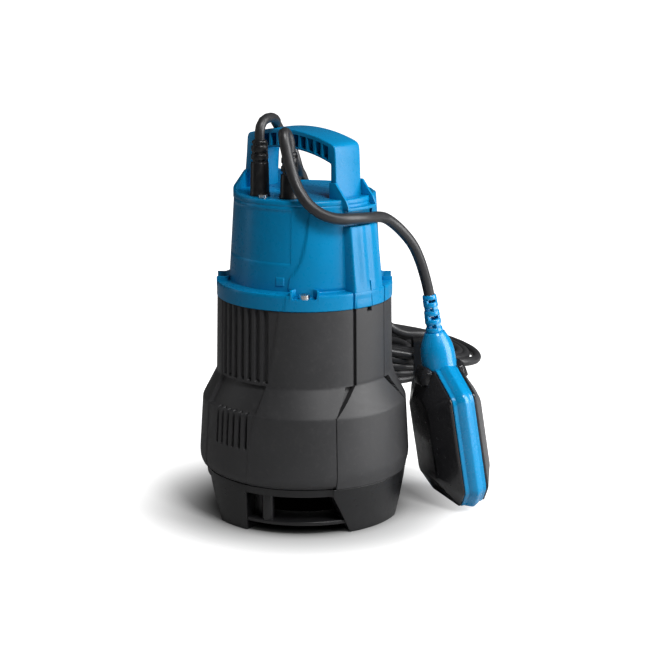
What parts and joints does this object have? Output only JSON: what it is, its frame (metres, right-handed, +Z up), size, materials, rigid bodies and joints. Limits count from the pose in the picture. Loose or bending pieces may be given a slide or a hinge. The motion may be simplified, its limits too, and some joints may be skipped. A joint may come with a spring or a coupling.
{
  "type": "submersible sump pump",
  "caption": "Submersible sump pump with a blue carrying top, black ribbed housing on feet, a float switch on its cord and stored mains cord.",
  "frame": {"origin": "on the motor axis, in the plane of the underside of the intake ring; the feet reach 7 mm below it", "axes": "+Z up the motor axis; the carrying handle, the column that guides the float's cord and the front foot stand on a line 12 degrees clockwise of +X seen from above; -Z points out of the intake"},
  "size_m": [0.2642, 0.2891, 0.2999],
  "materials": {
    "black_plastic": "satin moulded glass-filled plastic with a fine spark texture",
    "grey_plastic": "moulded plastic, matt",
    "blue_plastic": "satin moulded plastic, bright blue",
    "float_blue": "glossy moulded plastic, bright blue",
    "float_black": "glossy moulded plastic, near black",
    "white_plastic": "natural moulded plastic",
    "red_plastic": "moulded plastic, red",
    "strap_plastic": "moulded plastic, black",
    "impeller_plastic": "glass-filled plastic, grey",
    "boot_rubber": "smooth moulded rubber",
    "cord_rubber": "drawn rubber sheath, faintly dusty",
    "plug_rubber": "moulded rubber",
    "seal_rubber": "soft rubber",
    "lead_sheath": "insulated wire",
    "screw_steel": "bright zinc-plated steel",
    "shaft_steel": "ground stainless steel",
    "can_steel": "drawn sheet steel",
    "bearing_steel": "polished steel",
    "lamination_steel": "stacked electrical steel sheets",
    "motor_aluminium": "die-cast aluminium",
    "copper_wire": "enamelled copper wire",
    "pin_brass": "nickel-plated brass",
    "seal_ceramic": "lapped ceramic",
    "seal_carbon": "carbon graphite"
  },
  "bodies": {
    "pump": {"suction_base": "black_plastic", "base_screws": "screw_steel", "suction_plate": "grey_plastic", "pump_housing": "black_plastic", "volute": "grey_plastic", "discharge_elbow": "black_plastic", "elbow_seal": "seal_rubber", "oil_chamber": "grey_plastic", "seal_seat": "seal_ceramic", "lip_seal": "seal_rubber", "lower_end_shield": "motor_aluminium", "motor_can": "can_steel", "upper_end_shield": "motor_aluminium", "stator_core": "lamination_steel", "stator_windings": "copper_wire", "lower_bearing_ring": "bearing_steel", "upper_bearing_ring": "bearing_steel", "bearing_balls": "bearing_steel", "housing_o_ring": "seal_rubber", "top_cover": "blue_plastic", "carry_handle": "blue_plastic", "cover_screws": "screw_steel", "deck_screws": "screw_steel", "mains_gland": "boot_rubber", "float_gland": "boot_rubber", "capacitor": "can_steel", "capacitor_strap": "strap_plastic", "terminal_block": "white_plastic", "thermal_cutout": "strap_plastic", "internal_leads": "lead_sheath", "float_cord_fixed": "cord_rubber", "mains_cord_lead": "cord_rubber", "mains_cord_hank": "cord_rubber", "mains_cord_tail": "cord_rubber", "hank_tie": "strap_plastic", "mains_plug": "plug_rubber", "plug_pins": "pin_brass"},
    "rotor": {"shaft": "shaft_steel", "shaft_bearing_rings": "bearing_steel", "rotor_core": "lamination_steel", "impeller": "impeller_plastic", "impeller_nut": "screw_steel", "seal_face": "seal_carbon", "seal_spring": "shaft_steel"},
    "float": {"float_cord_arm": "cord_rubber", "float_strain_relief": "float_blue", "float_band": "float_blue", "float_left_shell": "float_black", "float_right_shell": "float_black", "micro_switch": "strap_plastic", "ball_track": "white_plastic"},
    "ball": {"switch_ball": "bearing_steel"},
    "plunger": {"switch_plunger": "red_plastic"}
  },
  "joints": [
    {"name": "rotor_spin", "type": "hinge", "parent": "pump", "child": "rotor", "pos_m": [0, 0, 0.05], "axis": [0, 0, 1], "continuous": true},
    {"name": "float_swing", "type": "hinge", "parent": "pump", "child": "float", "pos_m": [0.057, 0.03, 0.2205], "axis": [0.5, -0.866, 0], "range_deg": [0, 105]},
    {"name": "ball_roll", "type": "slide", "parent": "float", "child": "ball", "axis": [-0.1355, -0.0782, 0.9877], "range_m": [0, 0.0175]},
    {"name": "plunger_press", "type": "slide", "parent": "float", "child": "plunger", "axis": [-0.1355, -0.0782, 0.9877], "range_m": [0, 0.001]}
  ],
  "couplings": [
    {"joint": "plunger_press", "follows": "ball_roll", "ratio": 0.057143}
  ]
}
